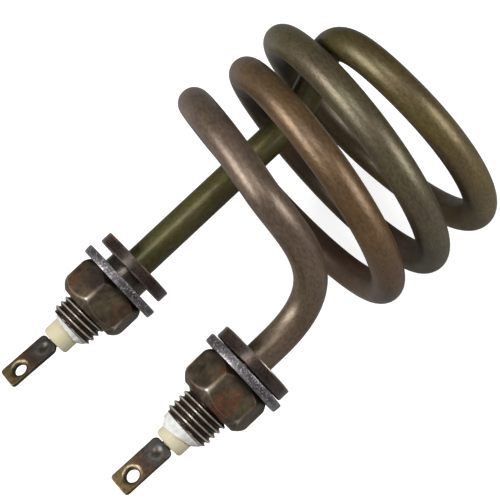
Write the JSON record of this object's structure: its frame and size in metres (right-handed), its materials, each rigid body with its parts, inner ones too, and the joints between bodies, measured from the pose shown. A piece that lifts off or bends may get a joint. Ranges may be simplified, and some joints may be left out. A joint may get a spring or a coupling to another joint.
{
  "type": "coiled immersion heating element",
  "caption": "Screw-in tubular immersion heating element: a sheathed tube wound into a coil, both legs led out side by side through flanged threaded bushings with nuts and flat terminals.",
  "frame": {"origin": "midway between the axes of the two legs, in the plane of the short leg's flange seat", "axes": "+X along the legs from the terminals into the coil, +Y from the short leg to the long leg, +Z square to both legs"},
  "size_m": [0.146, 0.0928, 0.0922],
  "materials": {
    "sheath_steel": "satin, heat-tinted bronze and olive",
    "magnesia": "compacted white powder, out of sight",
    "resistance_wire": "dull wire, out of sight",
    "pin_steel": "dull",
    "bushing_steel": "dark brown with rust patches and bright thread crests",
    "washer_steel": "grey-purple scale, sheared bright rim",
    "nut_steel": "dark brown with worn bright edges",
    "sealing_compound": "white, rough",
    "ceramic": "cream, unglazed",
    "tab_steel": "brown to steel blue where it was welded"
  },
  "bodies": {
    "element": {"sheath": "sheath_steel", "magnesia_fill": "magnesia", "resistance_coil": "resistance_wire", "long_leg_pin": "pin_steel", "short_leg_pin": "pin_steel", "long_leg_bushing": "bushing_steel", "short_leg_bushing": "bushing_steel", "long_leg_seal": "sealing_compound", "short_leg_seal": "sealing_compound", "long_leg_bead": "ceramic", "short_leg_bead": "ceramic", "long_leg_tab": "tab_steel", "short_leg_tab": "tab_steel"},
    "long_washer": {"long_leg_washer": "washer_steel"},
    "long_nut": {"long_leg_nut": "nut_steel"},
    "short_washer": {"short_leg_washer": "washer_steel"},
    "short_nut": {"short_leg_nut": "nut_steel"}
  },
  "joints": [
    {"name": "long_washer_slide", "type": "slide", "parent": "element", "child": "long_washer", "axis": [-1, 0, 0], "range_m": [-0.00291, 0.01951]},
    {"name": "long_nut_spin", "type": "hinge", "parent": "long_washer", "child": "long_nut", "pos_m": [-0.0178, 0.0275, 0], "axis": [-1, 0, 0], "range_deg": [-522, 3510]},
    {"name": "short_washer_slide", "type": "slide", "parent": "element", "child": "short_washer", "axis": [-1, 0, 0], "range_m": [-0.00041, 0.02201]},
    {"name": "short_nut_spin", "type": "hinge", "parent": "short_washer", "child": "short_nut", "pos_m": [-0.0098, -0.0275, 0], "axis": [-1, 0, 0], "range_deg": [-72, 3960]}
  ],
  "couplings": [
    {"joint": "long_washer_slide", "follows": "long_nut_spin", "m_per_rad": 0.00031831},
    {"joint": "short_washer_slide", "follows": "short_nut_spin", "m_per_rad": 0.00031831}
  ]
}
